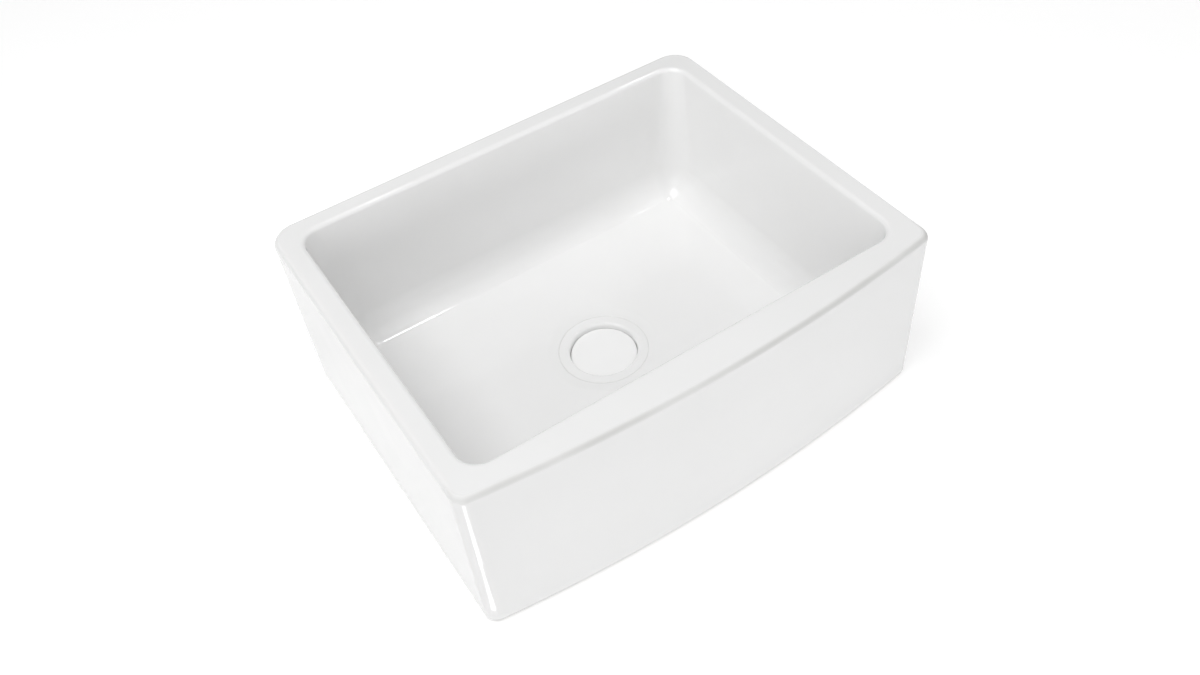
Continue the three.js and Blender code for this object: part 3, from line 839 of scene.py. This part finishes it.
def glaze():
    """Thick white glaze: even colour, soft orange peel, and bare clay at the foot's edge."""
    mat = material("white_glaze", GLAZE_LIGHT, 0.08, ior=1.52)
    tint = vary_color(mat, 6, GLAZE_DEEP, GLAZE_LIGHT)
    gloss = vary_roughness(mat, 14, 0.05, 0.1)
    grain(mat, 260, 2, 0.04, 0.0006)

    # glaze runs thin over the outer rounds, duller, with painted shade darkening it most along the
    # apron's top edge
    marks = add(mat, "ShaderNodeAttribute", attribute_name="thin_glaze_and_shade")
    patchy = noise_node(mat, 9, 2)
    patches = ramp(mat, patchy.outputs["Fac"], [(0.3, grey(0.75)), (0.6, grey(1))])
    share = add(mat, "ShaderNodeMath", operation="MULTIPLY")
    link(mat, marks.outputs["Fac"], share.inputs[0])
    link(mat, patches.outputs["Color"], share.inputs[1])
    thin_and_shade = mix_colors(mat, share.outputs["Value"], tint.outputs["Color"], GLAZE_THIN_AND_SHADE)
    duller = ramp(mat, share.outputs["Value"], [(0.05, grey(0)), (0.35, grey(1))])
    dull = mix_colors(mat, duller.outputs["Color"], gloss.outputs["Color"], grey(THIN_ROUGHNESS))
    link_shader(mat, dull, "Roughness")

    # the glaze stops in a slightly uneven line just above the foot
    coordinates = add(mat, "ShaderNodeTexCoord")
    split = add(mat, "ShaderNodeSeparateXYZ")
    link(mat, coordinates.outputs["Object"], split.inputs["Vector"])
    wander = noise_node(mat, 40, 3)
    offset = add(mat, "ShaderNodeMath", operation="MULTIPLY_ADD")
    link(mat, wander.outputs["Fac"], offset.inputs[0])
    offset.inputs[1].default_value = GLAZE_END_WANDER
    link(mat, split.outputs["Z"], offset.inputs[2])
    line = add(mat, "ShaderNodeMapRange")
    line.inputs["From Min"].default_value = GLAZE_END_LOW
    line.inputs["From Max"].default_value = GLAZE_END_HIGH
    link(mat, offset.outputs["Value"], line.inputs["Value"])
    link_shader(mat, mix_colors(mat, line.outputs["Result"], BISCUIT, thin_and_shade), "Base Color")
    return mat


def biscuit():
    """Unglazed fireclay on the foot and the underside."""
    mat = material("bare_fireclay", BISCUIT, 0.85)
    vary_color(mat, 30, BISCUIT_DARK, BISCUIT, 6)
    grain(mat, 900, 4, 0.35, 0.0006)
    return mat


def enamel(name, dark, light):
    mat = material(name, light, 0.12)
    vary_color(mat, 25, dark, light)
    vary_roughness(mat, 60, 0.08, 0.16)
    grain(mat, 700, 2, 0.05, 0.0003)
    return mat


def rubber(name, dark, light):
    mat = material(name, light, 0.75)
    vary_color(mat, 90, dark, light, 5)
    vary_roughness(mat, 120, 0.65, 0.85)
    grain(mat, 1500, 3, 0.25, 0.0003)
    return mat


def fibre():
    mat = material("grey_fibre", (0.27, 0.25, 0.21), 0.95)
    vary_color(mat, 300, (0.19, 0.175, 0.145), (0.32, 0.3, 0.25), 8)
    grain(mat, 1200, 6, 0.6, 0.0004)
    return mat


def nylon():
    mat = material("white_nylon", (0.74, 0.74, 0.72), 0.42)
    vary_color(mat, 40, (0.7, 0.7, 0.675), (0.76, 0.76, 0.74))
    vary_roughness(mat, 80, 0.36, 0.5)
    grain(mat, 900, 3, 0.12, 0.0003)
    return mat


def steel():
    mat = material("turned_steel", (0.55, 0.56, 0.57), 0.28, metallic=1.0)
    vary_color(mat, 120, (0.5, 0.51, 0.52), (0.6, 0.61, 0.62))
    vary_roughness(mat, 400, 0.2, 0.36)
    grain(mat, 2500, 2, 0.1, 0.0002)
    return mat


GLAZE = glaze()
CLAY = biscuit()
ENAMEL = enamel("white_enamel", GLAZE_DEEP, GLAZE_LIGHT)
# painted light: the cover's enamel is whiter than the strainer's, so that it stays white in the shade
# down in the throat
LIGHTENED_COVER_ENAMEL = enamel("cover_enamel_lightened", (0.935, 0.935, 0.932), (0.95, 0.95, 0.948))
WHITE_RUBBER = rubber("white_rubber", (0.7, 0.7, 0.685), (0.78, 0.78, 0.765))
BLACK_RUBBER = rubber("black_rubber", (0.018, 0.018, 0.018), (0.035, 0.035, 0.036))
FIBRE = fibre()
NYLON = nylon()
STEEL = steel()


# ---------------------------------------------------------------- dressing the frame

def dress(piece, body, slot, materials, *nodes):
    """Gives a piece its materials and its body, and hides the CAD nodes that it stands for. slot is not
    used.
    """
    for mat in materials:
        piece.data.materials.append(mat)
    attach(piece, body)
    if nodes:
        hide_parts(*nodes)


dress(sink_body(), "sink", "glazed_fireclay", [GLAZE, CLAY], "sink_body")
dress(strainer_body(), "sink", "white_enamel", [ENAMEL], "strainer_body")
dress(strainer_cross(), "sink", "white_enamel", [ENAMEL])
dress(soft_gasket(), "sink", "white_rubber", [WHITE_RUBBER], "flange_gasket")
thick_washer = ring_piece("rubber_washer", "thick_washer", RING_BORE, 0.5)
dress(thick_washer, "sink", "black_rubber", [BLACK_RUBBER], "rubber_washer")
fibre_washer = ring_piece("friction_ring", "fibre_washer", RING_BORE, 0.15)
dress(fibre_washer, "sink", "grey_fibre", [FIBRE], "friction_ring")
dress(locknut(), "sink", "white_nylon", [NYLON], "locknut")
pipe_washer = ring_piece("outlet_washer", "pipe_washer", OUTLET_RADIUS, 0.25)
dress(pipe_washer, "sink", "black_rubber", [BLACK_RUBBER], "outlet_washer")
dress(strainer_basket(), "basket", "white_enamel", [ENAMEL], "strainer_basket")
dress(basket_stopper(), "basket", "white_rubber", [WHITE_RUBBER], "basket_stopper")
dress(basket_post(), "basket", "steel", [STEEL], "basket_post")
dress(post_oring(), "basket", "black_rubber", [BLACK_RUBBER], "post_oring")
small_washer = ring_piece("clamp_washer", "small_washer", POST_BORE, 0.15)
dress(small_washer, "basket", "steel", [STEEL], "clamp_washer")
dress(basket_knob(), "basket", "steel", [STEEL], "basket_knob")
dress(cover_disc(), "cover", "white_enamel", [LIGHTENED_COVER_ENAMEL], "cover_disc")
for pad in (1, 2, 3):
    dress(cover_pad(pad), "cover", "white_rubber", [WHITE_RUBBER], f"cover_pad_{pad}")


# ---------------------------------------------------------------- camera

PHOTO_WIDTH = 1200
FOCAL_PIXELS = 1100.4
SENSOR_WIDTH = 36
CAMERA_AT = Vector((-0.4551, -0.8213, 1.0857))
CAMERA_YAW = 28.675  # degrees to the right of +Y
CAMERA_PITCH = 47.345  # degrees down
CAMERA_ROLL = -6.475


def make_camera():
    yaw, pitch, roll = (math.radians(a) for a in (CAMERA_YAW, CAMERA_PITCH, CAMERA_ROLL))
    forward = Vector((
        math.sin(yaw) * math.cos(pitch),
        math.cos(yaw) * math.cos(pitch),
        -math.sin(pitch),
    ))
    level = Vector((math.cos(yaw), -math.sin(yaw), 0))
    upright = level.cross(forward)
    right = level * math.cos(roll) + upright * math.sin(roll)
    up = upright * math.cos(roll) - level * math.sin(roll)
    turn = Matrix((right, up, -forward)).transposed().to_4x4()
    data = bpy.data.cameras.new("camera")
    data.sensor_width = SENSOR_WIDTH
    data.lens = SENSOR_WIDTH * FOCAL_PIXELS / PHOTO_WIDTH
    camera = bpy.data.objects.new("camera", data)
    camera.matrix_world = Matrix.Translation(CAMERA_AT) @ turn
    bpy.context.scene.collection.objects.link(camera)
    bpy.context.scene.camera = camera


make_camera()


# ---------------------------------------------------------------- light and floor

def area_light(name, at, aim, size, power):
    """A rectangular soft light. size is (width, height) in metres."""
    data = bpy.data.lights.new(name, "AREA")
    data.shape = "RECTANGLE"
    data.size, data.size_y = size
    data.energy = power
    light = bpy.data.objects.new(name, data)
    light.location = at
    light.rotation_euler = (Vector(aim) - Vector(at)).to_track_quat("-Z", "Y").to_euler()
    bpy.context.scene.collection.objects.link(light)
    return light


SKY = 0.3
SKY_LOBES = (
    # azimuth from +X, elevation, flat half angle, outer half angle, strength
    (90, 90, 8, 40, -0.25),
    (-30, 48, 8, 42, 0.33),
    (210, 48, 8, 42, 0.38),
    (-90, 10, 8, 36, -0.29),
    (-30, 10, 8, 36, -0.29),
    (30, 10, 8, 36, 0.68),
    (90, 10, 8, 36, 0.2),
    (150, 10, 8, 36, -0.27),
    (210, 10, 8, 36, 1.2),
)
LAMPS = (
    # name, place, aimed at, (width, height), power
    ("top_left", (-1.1, 0, 2.8), (0, 0, 0.1), (1.5, 1.5), 30),
    ("top_right", (1.1, 0, 2.8), (0, 0, 0.1), (1.5, 1.5), 1),
    ("front_low", (0.4, -3, 0.35), (0, 0, 0.12), (2.4, 0.6), 21),
    ("left_low", (-3, 0.8, 0.4), (0, 0, 0.12), (1.6, 0.6), 5.6),
)
FILLS = (
    # lamps that don't show as reflections
    ("top_front", (0, -1.1, 2.8), (0, 0, 0.1), (1.5, 1.5), 18),
)
GLINTS = (
    # small lamps that show only as reflections, with the angle that each shines over
    ("glint_left", (0.36, 0.14, 2.8), (0.36, 0.14, 0), (0.26, 0.4), 4.9, 180),
    ("glint_right", (1.53, 0.14, 2.8), (1.53, 0.14, 0), (0.24, 0.4), 5.5, 180),
    ("glint_edge_high", (-0.375, -0.303, 0.022), (0.015, 0.052, 0.872), (0.05, 0.077), 0.0027, 40),
    ("glint_edge_low", (-0.325, -0.2526, 0.0155), (0.065, 0.1024, 0.8655), (0.018, 0.051), 0.00065, 40),
)
FLOOR_HALF = 2.9  # inside the low lamps, whose light would end on it in a hard line
FLOOR_GLOW = 0.45
FLOOR_SHADE = 0.72


def world_light():
    """A soft sky with brighter and dimmer parts, seen as plain white by the camera."""
    world = bpy.data.worlds.new("studio")
    bpy.context.scene.world = world
    world.use_nodes = True
    direction = add(world, "ShaderNodeTexCoord").outputs["Generated"]
    level = None
    for azimuth, elevation, flat, outer, strength in SKY_LOBES:
        turn, lift = math.radians(azimuth), math.radians(elevation)
        along = add(world, "ShaderNodeVectorMath", operation="DOT_PRODUCT")
        link(world, direction, along.inputs[0])
        along.inputs[1].default_value = (
            math.cos(turn) * math.cos(lift), math.sin(turn) * math.cos(lift), math.sin(lift)
        )
        lobe = add(world, "ShaderNodeMapRange", interpolation_type="SMOOTHSTEP")
        lobe.inputs["From Min"].default_value = math.cos(math.radians(outer))
        lobe.inputs["From Max"].default_value = math.cos(math.radians(flat))
        lobe.inputs["To Max"].default_value = strength
        link(world, along.outputs["Value"], lobe.inputs["Value"])
        total = add(world, "ShaderNodeMath", operation="ADD")
        link(world, lobe.outputs["Result"], total.inputs[0])
        if level is None:
            total.inputs[1].default_value = SKY
        else:
            link(world, level, total.inputs[1])
        level = total.outputs["Value"]
    held = add(world, "ShaderNodeMath", operation="MAXIMUM")  # dim lobes stop at black
    held.inputs[1].default_value = 0
    link(world, level, held.inputs[0])
    sky = world.node_tree.nodes["Background"]
    sky.inputs["Color"].default_value = (1, 1, 1, 1)
    link(world, held.outputs["Value"], sky.inputs["Strength"])
    white = add(world, "ShaderNodeBackground")
    white.inputs["Color"].default_value = (1, 1, 1, 1)
    white.inputs["Strength"].default_value = 1
    path = add(world, "ShaderNodeLightPath")
    mix = add(world, "ShaderNodeMixShader")
    link(world, path.outputs["Is Camera Ray"], mix.inputs["Fac"])
    link(world, sky.outputs["Background"], mix.inputs[1])
    link(world, white.outputs["Background"], mix.inputs[2])
    link(world, mix.outputs["Shader"], world.node_tree.nodes["World Output"].inputs["Surface"])


world_light()
for lamp in LAMPS:
    area_light(*lamp)
for fill in FILLS:
    area_light(*fill).visible_glossy = False
for *glint, angle in GLINTS:
    light = area_light(*glint)
    light.data.spread = math.radians(angle)
    light.visible_diffuse = False
    light.visible_camera = False


def studio_floor():
    """A pale floor that keeps the sink's shadow and glows a little where it is seen."""
    corners = [(x * FLOOR_HALF, y * FLOOR_HALF, 0) for x, y in ((-1, -1), (1, -1), (1, 1), (-1, 1))]
    floor = new_object("studio_floor", corners, [(0, 1, 2, 3)])
    mat = bpy.data.materials.new("studio_floor")
    mat.use_nodes = True
    nodes = mat.node_tree.nodes
    nodes.remove(nodes["Principled BSDF"])
    path = add(mat, "ShaderNodeLightPath")
    seen = path.outputs["Is Camera Ray"]
    for ray in ("Is Glossy Ray", "Is Transmission Ray"):
        either = add(mat, "ShaderNodeMath", operation="MAXIMUM")
        link(mat, seen, either.inputs[0])
        link(mat, path.outputs[ray], either.inputs[1])
        seen = either.outputs["Value"]
    glow_level = add(mat, "ShaderNodeMath", operation="MULTIPLY")
    glow_level.inputs[1].default_value = FLOOR_GLOW
    link(mat, seen, glow_level.inputs[0])
    glow = add(mat, "ShaderNodeEmission")
    link(mat, glow_level.outputs["Value"], glow.inputs["Strength"])
    matt = add(mat, "ShaderNodeBsdfDiffuse")
    matt.inputs["Color"].default_value = (*grey(FLOOR_SHADE), 1)
    total = add(mat, "ShaderNodeAddShader")
    link(mat, glow.outputs["Emission"], total.inputs[0])
    link(mat, matt.outputs["BSDF"], total.inputs[1])
    link(mat, total.outputs["Shader"], nodes["Material Output"].inputs["Surface"])
    floor.data.materials.append(mat)


studio_floor()
bpy.context.scene.view_settings.view_transform = "Standard"
